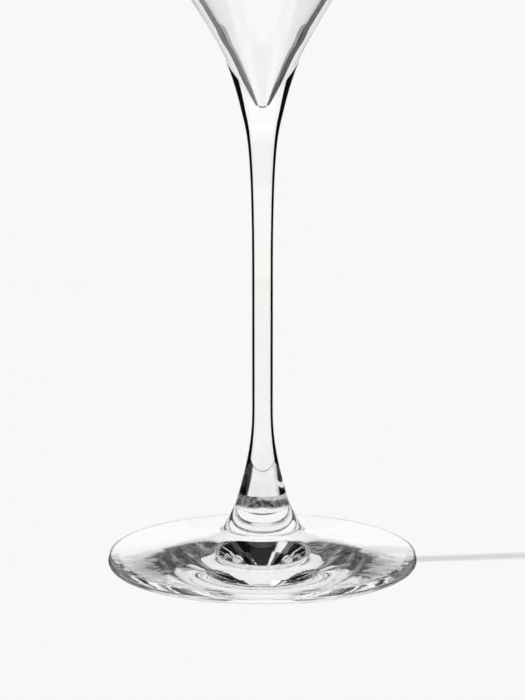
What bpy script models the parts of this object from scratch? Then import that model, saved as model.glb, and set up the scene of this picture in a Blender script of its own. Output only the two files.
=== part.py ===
"""Martini glass in clear crystal: a blown conical bowl, a drawn stem and a spun foot.

The three pieces are made hot and fused on one axis. That axis is Z, the table is z = 0,
and every size is in metres.
"""
import math

import bpy

# Foot
FOOT_DIAMETER = 0.080
FOOT_EDGE = 0.0032          # thickness of the foot at its rim
EDGE_LEAN = math.radians(12)     # the rim's side leans in by this much towards its top
EDGE_ROUND = 0.0004         # rounding of the rim's upper corner
HEEL_ROUND = 0.0013         # rounding of the rim's lower corner
HUB_HEIGHT = 0.0158         # flat top of the coned hub, where the stem is stuck on
HUB_LIP = 0.0001            # the hub's top shows this much all round the stem's bell
HUB_DIAMETER = 0.0210       # where the cone would meet the upper side without its rounding
HUB_BASE = 0.0093           # height of that place
CREASE_ROUND = 0.0030       # rounding between the cone and the upper side
HUB_ANGLE = math.radians(18)     # fall of the upper side where it leaves the hub
BRIM_ANGLE = math.radians(9)     # fall of the upper side where it reaches the rim
REST_INSET = 0.0030         # width of the ring that rests on the table, with its rounding
KICK = 0.0016               # hollow of the underside, so that only the ring touches

# Stem
STEM_DIAMETER = 0.00536     # the thin middle
STEM_LENGTH = 0.1036        # from the bell's base to the seam under the bowl
BELL_DIAMETER = 0.0142      # the stem's flared lower end
BELL_ANGLE = math.radians(17)    # lean of the bell's side at its base, from upright
BELL_HEIGHT = 0.02775       # from the bell's base to where the stem runs parallel
NECK_DIAMETER = 0.0112      # at the seam under the bowl
NECK_ANGLE = math.radians(13)    # lean of the side at the seam, from upright
NECK_LENGTH = 0.0447        # from the parallel stretch up to the seam
SEAT_DEPTH = 0.0014         # dish in the stem's head that holds the bowl's round bottom

# Bowl
RIM_DIAMETER = 0.106
BOWL_HEIGHT = 0.0864        # from the seam to the lip
SHOULDER_DIAMETER = 0.0238  # where the curved base of the bowl turns into the straight wall
SHOULDER_HEIGHT = 0.0172    # of that place above the seam
FLOOR = 0.0021              # glass between the tip of the hollow and the seam
TIP_ROUND = 0.0013          # rounding of the hollow's tip
TIP_ANGLE = math.radians(24)     # lean of the hollow's side just above the tip, from upright
WALL_LIP = 0.0013           # wall at the lip
WALL_BASE = 0.00295         # wall where the hollow begins to close
HOLLOW_HEIGHT = 0.0203      # of that place above the seam

# Fused seams are modelled with a small clearance, so that the pieces stay separate bodies
SEAM = 0.0003

# How finely the turned shapes are divided
TURN_STEPS = 64
CURVE_STEPS = 9
ARC_STEPS = 5

foot_radius = FOOT_DIAMETER / 2
stem_radius = STEM_DIAMETER / 2
bell_radius = BELL_DIAMETER / 2
hub_radius = HUB_DIAMETER / 2
neck_radius = NECK_DIAMETER / 2
rim_radius = RIM_DIAMETER / 2
shoulder_radius = SHOULDER_DIAMETER / 2
lip_radius = WALL_LIP / 2

# Heights, stacked from the table up
bell_base = HUB_HEIGHT + SEAM
stem_top = bell_base + STEM_LENGTH
seat_radius = (neck_radius ** 2 + SEAT_DEPTH ** 2) / (2 * SEAT_DEPTH)
seat_centre = stem_top - SEAT_DEPTH + seat_radius
button_radius = seat_radius - SEAM
bowl_base = seat_centre - math.sqrt(button_radius ** 2 - neck_radius ** 2)
hollow_bottom = seat_centre - button_radius + FLOOR
bowl_top = bowl_base + BOWL_HEIGHT


def curve(start, start_pull, end_pull, end, steps=CURVE_STEPS):
    """Points of one smooth curve, without its first point; the pulls set how it leaves and arrives."""
    points = []
    for i in range(1, steps + 1):
        t = i / steps
        s = 1 - t
        weights = (s ** 3, 3 * s * s * t, 3 * s * t * t, t ** 3)
        corners = (start, start_pull, end_pull, end)
        r = sum(w * c[0] for w, c in zip(weights, corners))
        z = sum(w * c[1] for w, c in zip(weights, corners))
        points.append((r, z))
    return points


def arc(centre, radius, first, last, steps=ARC_STEPS):
    """Points of a round from one angle to another, both ends included, angles from the outward level."""
    points = []
    for i in range(steps + 1):
        a = first + (last - first) * i / steps
        points.append((centre[0] + radius * math.cos(a), centre[1] + radius * math.sin(a)))
    return points


def dish(radius, steps=ARC_STEPS):
    """The round bottom of the bowl, or the dish it sits in, from the axis out to the neck."""
    reach = math.asin(neck_radius / radius)
    points = []
    for i in range(steps + 1):
        a = reach * i / steps
        points.append((radius * math.sin(a), seat_centre - radius * math.cos(a)))
    return points


def along(point, angle, length):
    """The place at a distance up a side that leans outward by an angle from upright."""
    return (point[0] + length * math.sin(angle), point[1] + length * math.cos(angle))


def bowl_profile():
    """Up the hollow from its bottom, over the fire-polished lip, down the outside, in to the axis."""
    shoulder = (shoulder_radius, bowl_base + SHOULDER_HEIGHT)
    lip = (rim_radius - lip_radius, bowl_top - lip_radius)
    reach = math.hypot(lip[0] - shoulder[0], lip[1] - shoulder[1])
    lean = math.atan2(lip[0] - shoulder[0], lip[1] - shoulder[1]) + math.asin(lip_radius / reach)

    # The hollow closes from a place inside the wall, square to the outer side
    rise = (HOLLOW_HEIGHT - SHOULDER_HEIGHT) / math.cos(lean)
    outside = along(shoulder, lean, rise)
    closing = (outside[0] - WALL_BASE * math.cos(lean), outside[1] + WALL_BASE * math.sin(lean))
    inner_lip = (lip[0] - lip_radius * math.cos(lean), lip[1] + lip_radius * math.sin(lean))
    inner_lean = math.atan2(inner_lip[0] - closing[0], inner_lip[1] - closing[1])

    # The hollow runs down to a small round tip on the axis
    profile = [(0.0, hollow_bottom)]
    profile += arc((0.0, hollow_bottom + TIP_ROUND), TIP_ROUND, -math.pi / 2, -TIP_ANGLE)[1:]
    tip = profile[-1]
    third = math.hypot(closing[0] - tip[0], closing[1] - tip[1]) / 3
    profile += curve(tip, along(tip, TIP_ANGLE, third), along(closing, inner_lean, -third), closing)
    profile += arc(lip, lip_radius, math.pi - lean, -lean, 2 * ARC_STEPS)

    profile.append(shoulder)
    base = (neck_radius, bowl_base)
    profile += curve(shoulder, along(shoulder, lean, -0.24 * SHOULDER_HEIGHT),
                     along(base, NECK_ANGLE, 0.40 * SHOULDER_HEIGHT), base)
    profile += dish(button_radius)[-2::-1]
    return profile


def stem_profile():
    """Out over the dish that holds the bowl, down the neck, the thin middle and the bell, in to the axis."""
    profile = dish(seat_radius)
    head = profile[-1]
    neck_end = (stem_radius, stem_top - NECK_LENGTH)
    profile += curve(head, along(head, NECK_ANGLE, -0.14 * NECK_LENGTH),
                     (stem_radius, stem_top - 0.17 * NECK_LENGTH), neck_end)
    bell_top = (stem_radius, bell_base + BELL_HEIGHT)
    bell_edge = (bell_radius, bell_base)
    profile += curve(bell_top, (stem_radius, bell_base + 0.74 * BELL_HEIGHT),
                     along(bell_edge, -BELL_ANGLE, 0.55 * BELL_HEIGHT), bell_edge)
    profile.append((0.0, bell_base))
    profile.insert(profile.index(neck_end) + 1, bell_top)
    return profile


def foot_profile():
    """Over the coned hub, down the upper side, round the rim, in over the resting ring and the hollow."""
    top = (bell_radius + HUB_LIP, HUB_HEIGHT)
    corner = (hub_radius, HUB_BASE)

    # The crease is rounded where it touches both the cone and the upper side
    fall = math.atan2(top[1] - corner[1], corner[0] - top[0])
    back = CREASE_ROUND * math.tan((fall - HUB_ANGLE) / 2)
    last = (corner[0] - back * math.cos(fall), corner[1] + back * math.sin(fall))
    centre = (last[0] + CREASE_ROUND * math.sin(fall), last[1] + CREASE_ROUND * math.cos(fall))
    crease = arc(centre, CREASE_ROUND, -math.pi / 2 - fall, -math.pi / 2 - HUB_ANGLE)
    hub = crease[-1]

    # The rim's side touches the rounds of both its corners
    heel = (foot_radius - HEEL_ROUND, HEEL_ROUND)
    crown_height = FOOT_EDGE - EDGE_ROUND
    step_in = (HEEL_ROUND - EDGE_ROUND) / math.cos(EDGE_LEAN)
    crown = (heel[0] + step_in - (crown_height - heel[1]) * math.tan(EDGE_LEAN), crown_height)
    upper = arc(crown, EDGE_ROUND, math.pi / 2 - BRIM_ANGLE, EDGE_LEAN)
    brim = upper[0]
    third = (brim[0] - hub[0]) / 3
    hub_pull = (hub[0] + third, hub[1] - third * math.tan(HUB_ANGLE))
    brim_pull = (brim[0] - third, brim[1] + third * math.tan(BRIM_ANGLE))
    profile = [(0.0, HUB_HEIGHT), top]
    profile += crease
    profile += curve(hub, hub_pull, brim_pull, brim)[:-1]
    profile += upper
    profile += arc(heel, HEEL_ROUND, EDGE_LEAN, -math.pi / 2)
    rest = foot_radius - REST_INSET
    for i in range(CURVE_STEPS + 1):
        r = rest * (1 - i / CURVE_STEPS)
        profile.append((r, KICK * (1 - (r / rest) ** 2)))
    return profile


def glass(name, colour):
    """Clear crystal for one piece."""
    material = bpy.data.materials.new(name)
    material.use_nodes = True
    shader = material.node_tree.nodes["Principled BSDF"]
    shader.inputs["Base Color"].default_value = (*colour, 1.0)
    shader.inputs["Roughness"].default_value = 0.02
    shader.inputs["IOR"].default_value = 1.52
    shader.inputs["Transmission Weight"].default_value = 1.0
    return material


def turn(name, profile, colour, home):
    """One piece: its half outline, turned about the axis."""
    mesh = bpy.data.meshes.new(name)
    points = [(r, 0.0, z) for r, z in profile]
    edges = [(i, i + 1) for i in range(len(points) - 1)]
    mesh.from_pydata(points, edges, [])
    mesh.materials.append(glass(name + "_glass", colour))
    piece = bpy.data.objects.new(name, mesh)
    home.objects.link(piece)
    lathe = piece.modifiers.new("Turn", "SCREW")
    lathe.axis = "Z"
    lathe.angle = 2 * math.pi
    lathe.steps = TURN_STEPS
    lathe.render_steps = TURN_STEPS
    lathe.use_merge_vertices = True
    lathe.merge_threshold = 0.00001
    lathe.use_smooth_shade = True
    return piece


for old in list(bpy.data.objects):
    bpy.data.objects.remove(old, do_unlink=True)

vessel = bpy.data.collections.new("martini_glass")
bpy.context.scene.collection.children.link(vessel)

turn("foot", foot_profile(), (0.93, 0.95, 0.95), vessel)
turn("stem", stem_profile(), (0.95, 0.96, 0.97), vessel)
turn("bowl", bowl_profile(), (0.97, 0.98, 0.98), vessel)
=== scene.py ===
"""Looks of a clear crystal martini glass: a blown bowl, a drawn stem and a spun foot.

The glass stands on a pale table. Its axis is Z, and every length is in metres.
"""
import math

import bpy
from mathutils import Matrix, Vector


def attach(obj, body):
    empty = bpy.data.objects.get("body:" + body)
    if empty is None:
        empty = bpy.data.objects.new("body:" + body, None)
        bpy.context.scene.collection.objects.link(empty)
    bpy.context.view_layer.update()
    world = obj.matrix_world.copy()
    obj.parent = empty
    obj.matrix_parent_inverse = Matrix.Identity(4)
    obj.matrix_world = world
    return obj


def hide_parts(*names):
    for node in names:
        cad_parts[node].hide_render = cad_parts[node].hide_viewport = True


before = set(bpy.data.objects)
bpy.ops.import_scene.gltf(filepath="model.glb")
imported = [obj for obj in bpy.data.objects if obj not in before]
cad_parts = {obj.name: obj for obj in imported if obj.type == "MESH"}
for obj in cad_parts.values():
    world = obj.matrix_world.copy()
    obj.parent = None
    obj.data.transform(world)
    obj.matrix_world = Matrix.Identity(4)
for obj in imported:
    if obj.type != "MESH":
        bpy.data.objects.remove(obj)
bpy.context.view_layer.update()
scene = bpy.context.scene

# Sizes of the glass, as its solids have them
FOOT_RADIUS = 0.040
FOOT_EDGE = 0.0032
EDGE_LEAN = math.radians(12)
EDGE_ROUND = 0.0004
HEEL_ROUND = 0.0013
HUB_HEIGHT = 0.01595
HUB_RADIUS = 0.0105
HUB_BASE = 0.0093
CREASE_ROUND = 0.0030
HUB_ANGLE = math.radians(18)
BRIM_ANGLE = math.radians(9)
REST_RADIUS = 0.037
KICK = 0.0016
STEM_RADIUS = 0.00268
BELL_RADIUS = 0.00715
BELL_ANGLE = math.radians(17)
BELL_HEIGHT = 0.0279
BELL_BASE = HUB_HEIGHT
NECK_RADIUS = 0.0056
NECK_ANGLE = math.radians(13)
NECK_LENGTH = 0.0447
NECK_TOP = 0.11987
SEAT_DEPTH = 0.0014
RIM_RADIUS = 0.053
BOWL_TOP = 0.20644
SHOULDER_RADIUS = 0.0119
SHOULDER = 0.13724
HOLLOW_BOTTOM = 0.1206
TIP_ROUND = 0.0013
TIP_ANGLE = math.radians(24)
HOLLOW_CLOSING = 0.14034
WALL_LIP = 0.0013
WALL_BASE = 0.00295

# How far the curves run along the lean of their ends, as shares of their heights
SHOULDER_PULL = 0.24
BASE_PULL = 0.40
HEAD_PULL = 0.14
NECK_PULL = 0.17
BELL_TOP_PULL = 0.74
BELL_EDGE_PULL = 0.55

# How finely the pieces are turned
FACETS = 288
CURVE_STEPS = 56
ARC_STEPS = 14
SEAT_STEPS = 10
AXIS_GAP = 1e-7
WELD = 2e-6
CORNER = math.radians(30)

# Crystal, and how much lamp light each face of a piece lets through to the table
WHITE = (1.0, 1.0, 1.0, 1.0)
CRYSTAL_IOR = 1.52
BOWL_SHADE = 1.0
STEM_SHADE = 0.45
FOOT_SHADE = 1.0

# Painted shade: sight lines that meet the stem more slantwise than this are painted dark, by height, in place
# of dark surroundings seen through its edges.
# Here and below, a pair of numbers alone is a soft limit: where it starts and where it ends
EDGE_STARTS = ((0.0262, 1.1), (0.0272, 0.36), (0.083, 0.37), (0.116, 0.42), (0.1280, 0.45), (0.1304, 0.70),
               (0.1335, 1.0))
EDGE_TOP = 0.15
EDGE_SOFT = (-0.02, 0.02)

# The same painted shade for the side of the hollow, up to where it opens, with the painted level it lets
# through, lighter on the left than on the right.
# A cone round the hollow tells its side from the outside of the bowl
HOLLOW_EDGE = 0.60
HOLLOW_EDGE_NONE = 1.05
HOLLOW_EDGE_END = (0.1400, 0.1440)
HOLLOW_LEFT = 0.20
HOLLOW_RIGHT = 0.11
HOLLOW_WIDTH = 0.0026
HOLLOW_SPREAD = 0.48
MIDDLE = (-0.001, 0.001)

# Painted reflection: heights between which the stem is painted black where the foot mirrors it, and how dark
# all of it is painted where the foot's upper side mirrors it
IMAGE_LOW = (0.027, 0.028)
IMAGE_HIGH = (0.075, 0.076)
IMAGE_OUTSIDE = 0.90

# Fine ripple of the foot's underside, left from the spinning, and a swell towards its sides
RIPPLE_SIZE = 0.0008
RIPPLE_DETAIL = 3.0
RIPPLE_DEPTH = 0.000003
RIPPLE_TOP = (0.0017, 0.0019)
SWELL_SIZE = 0.007
SWELL_DETAIL = 2.0
SWELL_DEPTH = 0.00005
SWELL_START = (0.016, 0.026)

# The cards' painted glow is dimmed for light turned back this often inside the glass; what is left of it
FADING = (3.5, 5.5)
FADED = 0.14


def curve(start, start_pull, end_pull, end, steps=CURVE_STEPS):
    """Points of one smooth curve without its first point."""
    points = []
    for i in range(1, steps + 1):
        t = i / steps
        s = 1 - t
        weights = (s ** 3, 3 * s * s * t, 3 * s * t * t, t ** 3)
        corners = (start, start_pull, end_pull, end)
        points.append(tuple(sum(w * c[k] for w, c in zip(weights, corners)) for k in (0, 1)))
    return points


def arc(centre, radius, first, last, steps=ARC_STEPS):
    """Points of a round, both ends included, with angles from the outward level."""
    points = []
    for i in range(steps + 1):
        a = first + (last - first) * i / steps
        points.append((centre[0] + radius * math.cos(a), centre[1] + radius * math.sin(a)))
    return points


def straight(start, end, shares):
    """Places along a straight side, so that its shading stays true up to both ends."""
    return [(start[0] + (end[0] - start[0]) * s, start[1] + (end[1] - start[1]) * s) for s in shares]


def along(point, angle, length):
    """The place at a distance up a side that leans outward by an angle from upright."""
    return (point[0] + length * math.sin(angle), point[1] + length * math.cos(angle))


def seat():
    """The fused seam under the bowl, from the axis out to the neck."""
    radius = (NECK_RADIUS ** 2 + SEAT_DEPTH ** 2) / (2 * SEAT_DEPTH)
    reach = math.asin(NECK_RADIUS / radius)
    centre = NECK_TOP - SEAT_DEPTH + radius
    angles = [reach * i / SEAT_STEPS for i in range(SEAT_STEPS + 1)]
    return [(radius * math.sin(a), centre - radius * math.cos(a)) for a in angles]


def bowl_outline():
    """Up the hollow, over the fire-polished lip, down the outside and in along the seam."""
    lip_radius = WALL_LIP / 2
    shoulder = (SHOULDER_RADIUS, SHOULDER)
    lip = (RIM_RADIUS - lip_radius, BOWL_TOP - lip_radius)
    reach = math.hypot(lip[0] - shoulder[0], lip[1] - shoulder[1])
    lean = math.atan2(lip[0] - shoulder[0], lip[1] - shoulder[1]) + math.asin(lip_radius / reach)
    outside = along(shoulder, lean, (HOLLOW_CLOSING - SHOULDER) / math.cos(lean))
    closing = (outside[0] - WALL_BASE * math.cos(lean), outside[1] + WALL_BASE * math.sin(lean))
    rounded = arc(lip, lip_radius, math.pi - lean, -lean, 2 * ARC_STEPS)
    inner_lean = math.atan2(rounded[0][0] - closing[0], rounded[0][1] - closing[1])
    inside = arc((0.0, HOLLOW_BOTTOM + TIP_ROUND), TIP_ROUND, -math.pi / 2, -TIP_ANGLE)
    tip = inside[-1]
    third = math.hypot(closing[0] - tip[0], closing[1] - tip[1]) / 3
    inside += curve(tip, along(tip, TIP_ANGLE, third), along(closing, inner_lean, -third), closing)
    inside += straight(closing, rounded[0], (0.02, 0.3, 0.65, 0.99))
    outer = straight(rounded[-1], shoulder, (0.01, 0.35, 0.7, 0.98))
    base = (NECK_RADIUS, NECK_TOP)
    outer.append(shoulder)
    outer += curve(shoulder, along(shoulder, lean, -SHOULDER_PULL * (SHOULDER - NECK_TOP)),
                   along(base, NECK_ANGLE, BASE_PULL * (SHOULDER - NECK_TOP)), base)
    return inside + rounded + outer, seat()[-2::-1]


def stem_outline():
    """Out along the seam, down the neck, the thin middle and the bell, and in along the hub."""
    head = (NECK_RADIUS, NECK_TOP)
    neck_end = (STEM_RADIUS, NECK_TOP - NECK_LENGTH)
    bell_top = (STEM_RADIUS, BELL_BASE + BELL_HEIGHT)
    bell_edge = (BELL_RADIUS, BELL_BASE)
    side = curve(head, along(head, NECK_ANGLE, -HEAD_PULL * NECK_LENGTH),
                 (STEM_RADIUS, NECK_TOP - NECK_PULL * NECK_LENGTH), neck_end)
    side += straight(neck_end, bell_top, (0.5, 1.0))
    side += curve(bell_top, (STEM_RADIUS, BELL_BASE + BELL_TOP_PULL * BELL_HEIGHT),
                  along(bell_edge, -BELL_ANGLE, BELL_EDGE_PULL * BELL_HEIGHT), bell_edge)
    return seat(), side, [(BELL_RADIUS * s, BELL_BASE) for s in (0.98, 0.5, 0.0)]


def foot_outline():
    """Over the hub's top and cone, down the upper side, round the rim, in over the ring and the hollow."""
    top = (BELL_RADIUS, HUB_HEIGHT)
    hub = (HUB_RADIUS, HUB_BASE)
    fall = math.atan2(top[1] - hub[1], hub[0] - top[0])
    back = CREASE_ROUND * math.tan((fall - HUB_ANGLE) / 2)
    last = (hub[0] - back * math.cos(fall), hub[1] + back * math.sin(fall))
    centre = (last[0] + CREASE_ROUND * math.sin(fall), last[1] + CREASE_ROUND * math.cos(fall))
    side = [top]
    side += straight(top, last, (0.02, 0.35, 0.7, 0.98))
    side += arc(centre, CREASE_ROUND, -math.pi / 2 - fall, -math.pi / 2 - HUB_ANGLE)
    hub = side[-1]
    heel = (FOOT_RADIUS - HEEL_ROUND, HEEL_ROUND)
    crown_height = FOOT_EDGE - EDGE_ROUND
    step_in = (HEEL_ROUND - EDGE_ROUND) / math.cos(EDGE_LEAN)
    crown = (heel[0] + step_in - (crown_height - heel[1]) * math.tan(EDGE_LEAN), crown_height)
    upper = arc(crown, EDGE_ROUND, math.pi / 2 - BRIM_ANGLE, EDGE_LEAN)
    under = arc(heel, HEEL_ROUND, EDGE_LEAN, -math.pi / 2)
    brim = upper[0]
    third = (brim[0] - hub[0]) / 3
    side += curve(hub, (hub[0] + third, hub[1] - third * math.tan(HUB_ANGLE)),
                  (brim[0] - third, brim[1] + third * math.tan(BRIM_ANGLE)), brim)[:-1]
    side += upper
    side += straight(upper[-1], under[0], (0.05, 0.5, 0.95))
    side += under
    side += straight(side[-1], (REST_RADIUS, 0.0), (0.02, 0.98))
    for i in range(CURVE_STEPS + 1):
        r = REST_RADIUS * (1 - i / CURVE_STEPS)
        side.append((r, KICK * (1 - (r / REST_RADIUS) ** 2)))
    return [(BELL_RADIUS * s, HUB_HEIGHT) for s in (0.0, 0.5, 0.98, 1.0)], side


def turning_tree():
    """Turns an outline about the axis, welds its poles and gives the seam its own material."""
    tree = bpy.data.node_groups.new("Turned on the axis", "GeometryNodeTree")
    sockets = {}
    for name, kind in (("Outline", "Geometry"), ("Facets", "Int"), ("Axis gap", "Float"), ("Weld", "Float"),
                       ("Crystal", "Material"), ("Fused seam", "Material")):
        socket = tree.interface.new_socket(name, in_out="INPUT", socket_type="NodeSocket" + kind)
        sockets[name] = socket.identifier
    tree.interface.new_socket("Piece", in_out="OUTPUT", socket_type="NodeSocketGeometry")
    nodes = tree.nodes
    link = tree.links.new
    given = nodes.new("NodeGroupInput")
    upright = nodes.new("GeometryNodeTransform")
    upright.inputs["Rotation"].default_value = (math.pi / 2, 0.0, 0.0)
    outline = nodes.new("GeometryNodeMeshToCurve")
    axis = nodes.new("GeometryNodeCurvePrimitiveCircle")
    turned = nodes.new("GeometryNodeCurveToMesh")
    weld = nodes.new("GeometryNodeMergeByDistance")
    smooth = nodes.new("GeometryNodeSetShadeSmooth")
    bend = nodes.new("GeometryNodeInputMeshEdgeAngle")
    corner = nodes.new("FunctionNodeCompare")
    corner.inputs["B"].default_value = CORNER
    crisp = nodes.new("GeometryNodeSetShadeSmooth")
    crisp.domain = "EDGE"
    crisp.inputs["Shade Smooth"].default_value = False
    real = nodes.new("GeometryNodeRealizeInstances")
    crystal = nodes.new("GeometryNodeSetMaterial")
    seam = nodes.new("GeometryNodeInputNamedAttribute")
    seam.data_type = "BOOLEAN"
    seam.inputs["Name"].default_value = "seam"
    fused = nodes.new("GeometryNodeSetMaterial")
    made = nodes.new("NodeGroupOutput")
    link(given.outputs["Outline"], upright.inputs["Geometry"])
    link(upright.outputs["Geometry"], outline.inputs["Mesh"])
    link(given.outputs["Facets"], axis.inputs["Resolution"])
    link(given.outputs["Axis gap"], axis.inputs["Radius"])
    link(axis.outputs["Curve"], turned.inputs["Curve"])
    link(outline.outputs["Curve"], turned.inputs["Profile Curve"])
    link(turned.outputs["Mesh"], weld.inputs["Geometry"])
    link(given.outputs["Weld"], weld.inputs["Distance"])
    link(weld.outputs["Geometry"], smooth.inputs["Geometry"])
    link(smooth.outputs["Geometry"], crisp.inputs["Geometry"])
    link(bend.outputs["Unsigned Angle"], corner.inputs["A"])
    link(corner.outputs["Result"], crisp.inputs["Selection"])
    link(crisp.outputs["Geometry"], real.inputs["Geometry"])
    link(real.outputs["Geometry"], crystal.inputs["Geometry"])
    link(given.outputs["Crystal"], crystal.inputs["Material"])
    link(crystal.outputs["Geometry"], fused.inputs["Geometry"])
    link(seam.outputs["Attribute"], fused.inputs["Selection"])
    link(given.outputs["Fused seam"], fused.inputs["Material"])
    link(fused.outputs["Geometry"], made.inputs["Piece"])
    return tree, sockets


def turn(name, outline, seam, tree, sockets, crystal, fused):
    """One finished piece: its outline turned into a plain mesh."""
    mesh = bpy.data.meshes.new(name + "_outline")
    mesh.from_pydata([(r, 0.0, z) for r, z in outline], [(i, i + 1) for i in range(len(outline) - 1)], [])
    marks = mesh.attributes.new("seam", "BOOLEAN", "POINT")
    for mark, on in zip(marks.data, seam):
        mark.value = on
    former = bpy.data.objects.new(name + "_outline", mesh)
    scene.collection.objects.link(former)
    lathe = former.modifiers.new("Turn", "NODES")
    lathe.node_group = tree
    lathe[sockets["Facets"]] = FACETS
    lathe[sockets["Axis gap"]] = AXIS_GAP
    lathe[sockets["Weld"]] = WELD
    lathe[sockets["Crystal"]] = crystal
    lathe[sockets["Fused seam"]] = fused
    evaluated = former.evaluated_get(bpy.context.evaluated_depsgraph_get())
    plain = bpy.data.meshes.new_from_object(evaluated)
    plain.name = name
    bpy.data.objects.remove(former, do_unlink=True)
    bpy.data.meshes.remove(mesh)
    piece = bpy.data.objects.new(name, plain)
    scene.collection.objects.link(piece)
    return piece


def ramp(tree, value, low, high, first, last):
    """A level that goes smoothly from one value to another while its driver goes from low to high."""
    step = tree.nodes.new("ShaderNodeMapRange")
    step.interpolation_type = "SMOOTHSTEP"
    for name, number in (("From Min", low), ("From Max", high), ("To Min", first), ("To Max", last)):
        step.inputs[name].default_value = number
    tree.links.new(value, step.inputs["Value"])
    return step.outputs[0]


def combine(tree, operation, *values):
    """One step of arithmetic on sockets and plain numbers."""
    step = tree.nodes.new("ShaderNodeMath")
    step.operation = operation
    for socket, value in zip(step.inputs, values):
        if isinstance(value, float):
            socket.default_value = value
        else:
            tree.links.new(value, socket)
    return step.outputs[0]


def choose(tree, factor, first, second):
    """The first value where the factor is 0, the second where it is 1."""
    step = tree.nodes.new("ShaderNodeMix")
    for name, value in (("Factor", factor), ("A", first), ("B", second)):
        if isinstance(value, float):
            step.inputs[name].default_value = value
        else:
            tree.links.new(value, step.inputs[name])
    return step.outputs["Result"]


def places(tree, kind):
    """The texture coordinates and their three parts."""
    node = tree.nodes.new("ShaderNodeTexCoord")
    parts = tree.nodes.new("ShaderNodeSeparateXYZ")
    tree.links.new(node.outputs[kind], parts.inputs[0])
    return node.outputs[kind], parts.outputs["X"], parts.outputs["Y"], parts.outputs["Z"]


def noise(tree, place, scale, detail):
    """Plain noise from 0 to 1."""
    node = tree.nodes.new("ShaderNodeTexNoise")
    node.inputs["Scale"].default_value = scale
    node.inputs["Detail"].default_value = detail
    tree.links.new(place, node.inputs["Vector"])
    return node.outputs["Fac"]


def mottled(tree, place, scale, detail, spread, shades):
    """Noise, with the middle of its range spread between two shades."""
    return ramp(tree, noise(tree, place, scale, detail), *spread, *shades)


def rises(tree, value, limit):
    """0 before a soft limit and 1 after it; the limit is the pair of values where it starts and ends."""
    return ramp(tree, value, *limit, 0.0, 1.0)


def falls(tree, value, limit):
    """1 before a soft limit and 0 after it."""
    return ramp(tree, value, *limit, 1.0, 0.0)


def product(tree, first, *others):
    """Several factors multiplied."""
    for other in others:
        first = combine(tree, "MULTIPLY", first, other)
    return first


def more_than(tree, count, number):
    """1 where a whole count is over a number, else 0."""
    return combine(tree, "GREATER_THAN", count, number + 0.5)


def at_most(tree, count, number):
    """1 where a whole count is not over a number, else 0."""
    return combine(tree, "LESS_THAN", count, number + 0.5)


def length(tree, place):
    """How far a place is from the origin."""
    step = tree.nodes.new("ShaderNodeVectorMath")
    step.operation = "LENGTH"
    tree.links.new(place, step.inputs[0])
    return step.outputs["Value"]


def light_path(tree):
    """How often light was turned back, how often it passed through a surface, and the kinds of ray."""
    rays = tree.nodes.new("ShaderNodeLightPath").outputs
    return rays["Glossy Depth"], rays["Transmission Depth"], rays


def blend(tree, factor, first, second):
    """The first shader where the factor is 0, the second where it is 1."""
    mix = tree.nodes.new("ShaderNodeMixShader")
    tree.links.new(factor, mix.inputs[0])
    tree.links.new(first.outputs[0], mix.inputs[1])
    tree.links.new(second.outputs[0], mix.inputs[2])
    return mix.outputs[0]


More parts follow.
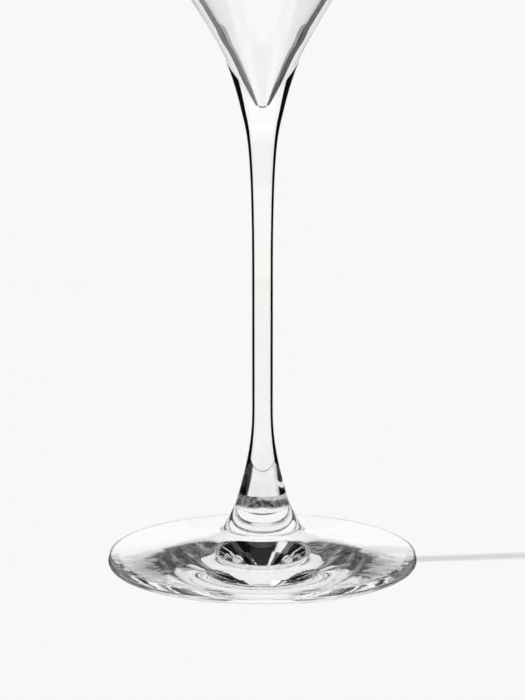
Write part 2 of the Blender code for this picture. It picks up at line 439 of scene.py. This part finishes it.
def crystal_material(name, shade, edges, ripple):
    """Clear polished crystal; with edges set, its slantwise edges get painted shade and the stem a painted
    dark reflection.
    """
    material = bpy.data.materials.new(name)
    material.use_nodes = True
    tree = material.node_tree
    nodes = tree.nodes
    link = tree.links.new
    shader = nodes["Principled BSDF"]
    shader.inputs["Base Color"].default_value = WHITE
    shader.inputs["Roughness"].default_value = 0.0
    shader.inputs["IOR"].default_value = CRYSTAL_IOR
    shader.inputs["Transmission Weight"].default_value = 1.0
    place, x, _, z = places(tree, "Object")
    turns, passes, rays = light_path(tree)
    if edges:
        start = nodes.new("ShaderNodeValToRGB")
        start.color_ramp.interpolation = "LINEAR"
        height = nodes.new("ShaderNodeMapRange")
        height.inputs["From Max"].default_value = EDGE_TOP
        link(z, height.inputs["Value"])
        link(height.outputs[0], start.inputs[0])
        stops = start.color_ramp.elements
        stops[0].position = EDGE_STARTS[0][0] / EDGE_TOP
        stops[0].color = (*[EDGE_STARTS[0][1]] * 3, 1.0)
        stops[1].position = EDGE_STARTS[-1][0] / EDGE_TOP
        stops[1].color = (*[EDGE_STARTS[-1][1]] * 3, 1.0)
        for at, level in EDGE_STARTS[1:-1]:
            stop = stops.new(at / EDGE_TOP)
            stop.color = (level, level, level, 1.0)
        # Painted shade: a darker base colour where the surface turns away from the sight line
        facing = nodes.new("ShaderNodeLayerWeight")
        facing.inputs["Blend"].default_value = 0.5
        facing = facing.outputs["Facing"]
        over = combine(tree, "SUBTRACT", facing, start.outputs["Color"])
        level = falls(tree, over, EDGE_SOFT)

        # The side of the hollow has its own limit; its painted shade is not quite black and is lighter on the
        # left
        flat = nodes.new("ShaderNodeVectorMath")
        flat.operation = "MULTIPLY"
        flat.inputs[1].default_value = (1.0, 1.0, 0.0)
        link(place, flat.inputs[0])
        inner = combine(tree, "MULTIPLY_ADD", z, HOLLOW_SPREAD, HOLLOW_WIDTH - HOLLOW_SPREAD * HOLLOW_BOTTOM)
        inner = combine(tree, "LESS_THAN", length(tree, flat.outputs["Vector"]), inner)
        inner = product(tree, inner, combine(tree, "GREATER_THAN", z, HOLLOW_BOTTOM))
        start = ramp(tree, z, *HOLLOW_EDGE_END, HOLLOW_EDGE, HOLLOW_EDGE_NONE)
        over = combine(tree, "SUBTRACT", facing, start)
        through = ramp(tree, x, *MIDDLE, HOLLOW_LEFT, HOLLOW_RIGHT)
        through = choose(tree, rises(tree, over, EDGE_SOFT), 1.0, through)
        level = choose(tree, inner, level, through)

        # Painted reflection: the stem is painted dark where the foot mirrors it
        painted_reflection = product(tree, rises(tree, z, IMAGE_LOW), falls(tree, z, IMAGE_HIGH))
        painted_reflection = combine(tree, "MAXIMUM", painted_reflection, product(tree, at_most(tree, passes, 0), IMAGE_OUTSIDE))
        painted_reflection = product(tree, painted_reflection, at_most(tree, turns, 1))
        level = choose(tree, more_than(tree, turns, 0), level, combine(tree, "SUBTRACT", 1.0, painted_reflection))
        # The crystal's colour, carrying the painted shade and the painted reflection
        painted_dark_colour = nodes.new("ShaderNodeCombineColor")
        for channel in ("Red", "Green", "Blue"):
            link(level, painted_dark_colour.inputs[channel])
        link(painted_dark_colour.outputs["Color"], shader.inputs["Base Color"])
    if ripple:
        fine = product(tree, noise(tree, place, 1.0 / RIPPLE_SIZE, RIPPLE_DETAIL), RIPPLE_DEPTH)
        swell = product(tree, noise(tree, place, 1.0 / SWELL_SIZE, SWELL_DETAIL), SWELL_DEPTH)
        swell = product(tree, swell, rises(tree, combine(tree, "ABSOLUTE", x), SWELL_START))
        bump = nodes.new("ShaderNodeBump")
        bump.inputs["Distance"].default_value = 1.0
        link(falls(tree, z, RIPPLE_TOP), bump.inputs["Strength"])
        link(combine(tree, "ADD", fine, swell), bump.inputs["Height"])
        link(bump.outputs["Normal"], shader.inputs["Normal"])
    thin = nodes.new("ShaderNodeBsdfTransparent")
    thin.inputs["Color"].default_value = (shade, shade, shade, 1.0)
    link(blend(tree, rays["Is Shadow Ray"], shader, thin), nodes["Material Output"].inputs["Surface"])
    return material


def seam_material():
    """Inside a fused seam there is no surface to see."""
    material = bpy.data.materials.new("fused_seam")
    material.use_nodes = True
    shader = material.node_tree.nodes["Principled BSDF"]
    shader.inputs["Alpha"].default_value = 0.0
    return material


def flat_panel(name, corners, material):
    """One flat piece of the studio."""
    mesh = bpy.data.meshes.new(name)
    mesh.from_pydata(corners, [], [(0, 1, 2, 3)])
    mesh.materials.append(material)
    panel = bpy.data.objects.new(name, mesh)
    scene.collection.objects.link(panel)
    return panel


# The three pieces
tree, sockets = turning_tree()
fused = seam_material()
bowl_side, bowl_seam = bowl_outline()
stem_head, stem_side, stem_base = stem_outline()
foot_hub, foot_side = foot_outline()
bowl = turn("bowl_crystal", bowl_side + bowl_seam,
            [False] * (len(bowl_side) - 1) + [True] * (len(bowl_seam) + 1),
            tree, sockets, crystal_material("bowl_crystal", BOWL_SHADE, True, False), fused)
stem = turn("stem_crystal", stem_head + stem_side + stem_base,
            [True] * len(stem_head) + [False] * (len(stem_side) - 1) + [True] * (len(stem_base) + 1),
            tree, sockets, crystal_material("stem_crystal", STEM_SHADE, True, False), fused)
foot = turn("foot_crystal", foot_hub + foot_side,
            [True] * len(foot_hub) + [False] * len(foot_side),
            tree, sockets, crystal_material("foot_crystal", FOOT_SHADE, False, True), fused)
for piece, node in ((bowl, "bowl"), (stem, "stem"), (foot, "foot")):
    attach(piece, "root")
    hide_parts(node)
    piece.visible_diffuse = False

# Camera, at the photograph's height and angle
CAMERA_DISTANCE = 1.10
CAMERA_HEIGHT = 0.303
CAMERA_PITCH = math.radians(12.611)
LENS = 225.6
SENSOR = 36.0
camera_data = bpy.data.cameras.new("camera")
camera_data.lens = LENS
camera_data.sensor_width = SENSOR
camera_data.clip_start = 0.01
camera = bpy.data.objects.new("camera", camera_data)
camera.location = (0.0, -CAMERA_DISTANCE, CAMERA_HEIGHT)
camera.rotation_euler = (math.pi / 2 - CAMERA_PITCH, 0.0, 0.0)
scene.collection.objects.link(camera)
scene.camera = camera

# Table. Painted shade: where the glass mirrors it, it is painted dark under the foot; through the bell it is
# painted dark towards the back right.
# A pair is a soft limit, in metres or radians; a mottle is scale, detail, range of the noise and two shades
TABLE = 4.0
TABLE_LEVEL = -0.0002
TABLE_COLOUR = (0.95, 0.945, 0.93, 1.0)
TABLE_ROUGHNESS = 0.6
SIDE_START = (math.radians(25) - 0.04, math.radians(25) + 0.04)
SIDE_END = (0.080, 0.085)
SIDE_SHADE = 0.004
BAND_LEAN = 0.27
BAND_EDGE = (0.0029, 0.0040)
BAND_END = (0.013, 0.016)
BAND_MOTTLE = (700.0, 3.0, (0.35, 0.65), (0.02, 0.24))
LIT_EDGE = (0.0007, 0.0014)
LIT_SIDE = (0.001, 0.003)
LIT_SHARE = 0.5
CONTACT_START = (0.036, 0.038)
CONTACT_END = (0.042, 0.056)
CONTACT_ASIDE = (0.018, 0.034)
CONTACT_SHADE = 0.03
UNDER_END = (0.0375, 0.0385)
UNDER_ASIDE = (0.0015, 0.0030)
UNDER_MOTTLE = (1000.0, 4.0, (0.38, 0.64), (0.014, 0.56))
PAST_START = (0.0420, 0.0435)
PAST_END = (0.066, 0.070)
PAST_SHADE = 0.05
FRONT_END = (0.004, 0.008)
FRONT_SHADE = 0.008
table_material = bpy.data.materials.new("pale_table")
table_material.use_nodes = True
tree = table_material.node_tree
table_shader = tree.nodes["Principled BSDF"]
table_shader.inputs["Roughness"].default_value = TABLE_ROUGHNESS
table_shader.inputs["Specular IOR Level"].default_value = 0.0
place, x, y, _ = places(tree, "Object")
turns, passes, _ = light_path(tree)
reach = length(tree, place)
aside = combine(tree, "ABSOLUTE", x)

# Seen without a mirror, through the bell: painted shade towards the back right
beside = product(tree, rises(tree, combine(tree, "ARCTAN2", x, y), SIDE_START),
                 falls(tree, reach, SIDE_END), more_than(tree, passes, 3))
direct = choose(tree, beside, 1.0, SIDE_SHADE)

# Mirrored once: a mottled band of painted shade round the foot of the bell, painted half lit at its front
# left, and a ring of painted contact shadow where the rim stands
depth = combine(tree, "SUBTRACT", y, product(tree, aside, BAND_LEAN))
lit = product(tree, ramp(tree, depth, *LIT_EDGE, LIT_SHARE, 0.0), falls(tree, x, LIT_SIDE))
band = combine(tree, "MAXIMUM", rises(tree, depth, BAND_EDGE), lit)
band = combine(tree, "MAXIMUM", band, rises(tree, reach, BAND_END))
once = choose(tree, band, mottled(tree, place, *BAND_MOTTLE), 1.0)
contact = product(tree, rises(tree, reach, CONTACT_START), falls(tree, reach, CONTACT_END),
                  rises(tree, aside, CONTACT_ASIDE))
once = choose(tree, contact, once, CONTACT_SHADE)

# Mirrored more than once: mottled painted shade under the foot, and painted shade past it and in front of the
# axis
deep = product(tree, more_than(tree, turns, 2), rises(tree, aside, UNDER_ASIDE))
under = choose(tree, rises(tree, reach, UNDER_END), mottled(tree, place, *UNDER_MOTTLE), 1.0)
behind = choose(tree, deep, 1.0, under)
past = product(tree, rises(tree, reach, PAST_START), falls(tree, reach, PAST_END), at_most(tree, turns, 4))
behind = choose(tree, past, behind, PAST_SHADE)
more = choose(tree, rises(tree, y, FRONT_END), FRONT_SHADE, behind)

mirrored = choose(tree, more_than(tree, turns, 1), once, more)
level = choose(tree, more_than(tree, turns, 0), direct, mirrored)
# The table's colour, darkened by the painted shade above
painted_table_colour = tree.nodes.new("ShaderNodeMix")
painted_table_colour.data_type = "RGBA"
painted_table_colour.inputs["A"].default_value = (0.0, 0.0, 0.0, 1.0)
painted_table_colour.inputs["B"].default_value = TABLE_COLOUR
tree.links.new(level, painted_table_colour.inputs["Factor"])
tree.links.new(painted_table_colour.outputs["Result"], table_shader.inputs["Base Color"])
flat_panel("table", [(-TABLE, -TABLE, TABLE_LEVEL), (TABLE, -TABLE, TABLE_LEVEL), (TABLE, TABLE, TABLE_LEVEL),
                     (-TABLE, TABLE, TABLE_LEVEL)], table_material)

# Cards at both sides, a painted reflection; only light that the glass mirrors, outside or inside, meets them.
# They glow dark, or with a mottled painted glow where the foot mirrors them.
# Light from inside the glass meets no card behind CARD_END
CARD_X = 0.100
CARD_FRONT = -0.024
CARD_BACK = 0.25
CARD_HEIGHT = 0.30
CARD_END = 0.168
CARD_MOTTLE = (170.0, 6.0, (0.38, 0.66), (0.05, 3.2))
CARD_CHANGE = (-0.012, 0.014)
CARD_LIGHT = 1.0
CARD_DARK = 0.40
CARD_RAGGED = 0.08
RAGGED_NOISE = (45.0, 5.0)
CARD_OPEN = (0.169, 0.175)
CARD_FAR = (0.143, 0.149)
CARD_LEFT = 0.15
CARD_RIGHT = 0.06
CARD_OUTSIDE = 0.03
card_material = bpy.data.materials.new("painted_reflection_card")
card_material.use_nodes = True
tree = card_material.node_tree
tree.nodes.remove(tree.nodes["Principled BSDF"])
place, x, y, _ = places(tree, "Object")
turns, passes, _ = light_path(tree)
clear = tree.nodes.new("ShaderNodeBsdfTransparent")
painted_glow = tree.nodes.new("ShaderNodeEmission")
foot_view = product(tree, mottled(tree, place, *CARD_MOTTLE), ramp(tree, turns, *FADING, 1.0, FADED),
                    ramp(tree, y, *CARD_CHANGE, CARD_LIGHT, CARD_DARK))
ragged = combine(tree, "MULTIPLY_ADD", noise(tree, place, *RAGGED_NOISE), CARD_RAGGED, y)
far_end = product(tree, rises(tree, ragged, CARD_FAR), more_than(tree, turns, 6))
ends = combine(tree, "MAXIMUM", rises(tree, ragged, CARD_OPEN), far_end)
foot_view = choose(tree, ends, foot_view, 1.0)
bowl_view = ramp(tree, x, *MIDDLE, CARD_LEFT, CARD_RIGHT)
bowl_view = choose(tree, more_than(tree, passes, 3), bowl_view, 1.0)
level = choose(tree, more_than(tree, turns, 3), bowl_view, foot_view)
outside = at_most(tree, passes, 0)
tree.links.new(choose(tree, outside, level, CARD_OUTSIDE), painted_glow.inputs["Strength"])
shown = combine(tree, "MAXIMUM", outside, combine(tree, "LESS_THAN", y, CARD_END))
shown = product(tree, shown, more_than(tree, turns, 0))
tree.links.new(blend(tree, shown, clear, painted_glow), tree.nodes["Material Output"].inputs["Surface"])
for side in (-1, 1):
    card = flat_panel("card_left" if side < 0 else "card_right",
                      [(side * CARD_X, CARD_FRONT, 0.0), (side * CARD_X, CARD_BACK, 0.0),
                       (side * CARD_X, CARD_BACK, CARD_HEIGHT), (side * CARD_X, CARD_FRONT, CARD_HEIGHT)],
                      card_material)
    card.visible_camera = False
    card.visible_diffuse = False
    card.visible_shadow = False

# Studio: plain light for the table; the glass mirrors a bright backdrop, a dark ceiling and three soft boxes.
# A pair is a soft limit, on one part of the direction of sight or, for the flecks, on its angle in radians
BACKDROP = 0.94
PLAIN_LIGHT = 0.66
FLECKS = (12.0, 3.0, (0.54, 0.58), (0.005, 0.8))
FLECKS_START = (0.58, 0.62)
FLECKS_END = (1.15, 1.20)
CEILING = (0.61, 0.67)
CEILING_DEEP = (0.74, 0.80)
CEILING_DEEP_SHADE = 0.13
CEILING_OUTSIDE = (0.20, 0.40)
CEILING_OUTSIDE_SHADE = 0.02
FRONT_WALL = (-0.64, -0.56)
FRONT_BOX_LOW = (0.60, 0.70)
FRONT_BOX_BACK = (-0.40, -0.30)
LEFT_BOX_RIGHT = (-0.24, -0.18)
LEFT_BOX_LOW = (0.66, 0.70)
LEFT_BOX_FRONT = (0.15, 0.25)
LOW_BOX_RIGHT = (-0.60, -0.55)
LOW_BOX_TOP = (0.18, 0.22)
world = bpy.data.worlds.new("studio")
scene.world = world
world.use_nodes = True
tree = world.node_tree
tree.nodes.clear()
place, x, y, z = places(tree, "Generated")
turns, passes, rays = light_path(tree)
aside = combine(tree, "ABSOLUTE", combine(tree, "ARCTAN2", x, y))
flecks = product(tree, mottled(tree, place, *FLECKS), rises(tree, aside, FLECKS_START),
                 falls(tree, aside, FLECKS_END))
ceiling = choose(tree, rises(tree, z, CEILING), 1.0, flecks)
ceiling = choose(tree, more_than(tree, turns, 2), ceiling,
                 ramp(tree, z, *CEILING_DEEP, 1.0, CEILING_DEEP_SHADE))
ceiling = choose(tree, at_most(tree, passes, 0), ceiling,
                 ramp(tree, z, *CEILING_OUTSIDE, 1.0, CEILING_OUTSIDE_SHADE))
level = product(tree, ceiling, rises(tree, y, FRONT_WALL))
front_box = product(tree, rises(tree, z, FRONT_BOX_LOW), falls(tree, y, FRONT_BOX_BACK))
left_box = product(tree, falls(tree, x, LEFT_BOX_RIGHT), rises(tree, z, LEFT_BOX_LOW),
                   rises(tree, y, LEFT_BOX_FRONT))
low_box = product(tree, falls(tree, x, LOW_BOX_RIGHT), falls(tree, z, LOW_BOX_TOP),
                  falls(tree, y, FRONT_WALL))
for box in (front_box, left_box, low_box):
    level = combine(tree, "ADD", level, box)
level = choose(tree, more_than(tree, turns, 0), 1.0, level)
seen = tree.nodes.new("ShaderNodeBackground")
seen.inputs["Color"].default_value = WHITE
tree.links.new(choose(tree, rays["Is Camera Ray"], level, BACKDROP), seen.inputs["Strength"])
plain = tree.nodes.new("ShaderNodeBackground")
plain.inputs["Color"].default_value = WHITE
plain.inputs["Strength"].default_value = PLAIN_LIGHT
shown = combine(tree, "MAXIMUM", rays["Is Glossy Ray"], rays["Is Transmission Ray"])
shown = combine(tree, "MAXIMUM", shown, rays["Is Camera Ray"])
out = tree.nodes.new("ShaderNodeOutputWorld")
tree.links.new(blend(tree, shown, plain, seen), out.inputs["Surface"])

# Key light from the left, which lays the stem's shadow on the table
KEY_ENERGY = 1.45
KEY_SPREAD = math.radians(2.0)
KEY_TOWARDS = Vector((1.0, 0.13, -1.05))
key_data = bpy.data.lights.new("key", "SUN")
key_data.energy = KEY_ENERGY
key_data.angle = KEY_SPREAD
key = bpy.data.objects.new("key", key_data)
key.rotation_euler = KEY_TOWARDS.to_track_quat("-Z", "Y").to_euler()
scene.collection.objects.link(key)

# Light may turn often inside the glass before it is given up
BOUNCES = 32
scene.view_settings.view_transform = "Standard"
scene.cycles.max_bounces = BOUNCES
scene.cycles.glossy_bounces = BOUNCES
scene.cycles.transmission_bounces = BOUNCES
scene.cycles.transparent_max_bounces = BOUNCES
scene.cycles.caustics_reflective = False
scene.cycles.caustics_refractive = False
